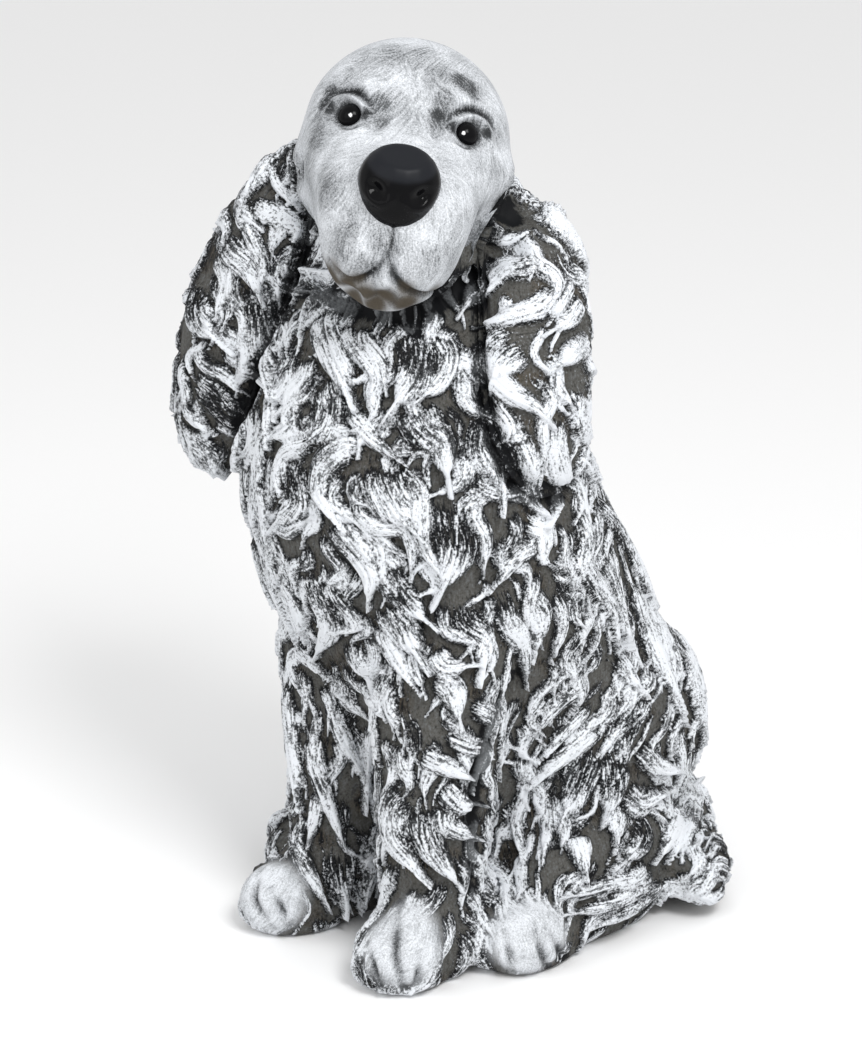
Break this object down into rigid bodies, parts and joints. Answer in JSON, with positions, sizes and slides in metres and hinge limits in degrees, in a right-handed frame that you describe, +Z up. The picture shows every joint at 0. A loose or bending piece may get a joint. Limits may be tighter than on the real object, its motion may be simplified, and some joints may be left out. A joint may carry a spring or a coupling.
{
  "type": "dog figurine",
  "caption": "Slip-cast ceramic figurine of a seated long-eared spaniel with a wavy carved coat, black glazed nose and eyes, and flat soles to stand on.",
  "frame": {"origin": "on the ground, under the middle of the figure's bounding box", "axes": "+Z up, the dog's chest faces -Y, the dog's left side is +X"},
  "size_m": [0.2264, 0.2438, 0.4045],
  "materials": {
    "washed_ceramic": "matte ceramic, dark wash in the hollows under dry-brushed white",
    "black_glaze": "glossy black glaze"
  },
  "bodies": {
    "root": {"torso": "washed_ceramic", "head": "washed_ceramic", "left_ear": "washed_ceramic", "right_ear": "washed_ceramic", "left_foreleg": "washed_ceramic", "right_foreleg": "washed_ceramic", "left_haunch": "washed_ceramic", "right_haunch": "washed_ceramic", "left_hind_foot": "washed_ceramic", "right_hind_foot": "washed_ceramic", "tail": "washed_ceramic", "nose": "black_glaze", "left_eye": "black_glaze", "right_eye": "black_glaze"}
  },
  "joints": []
}
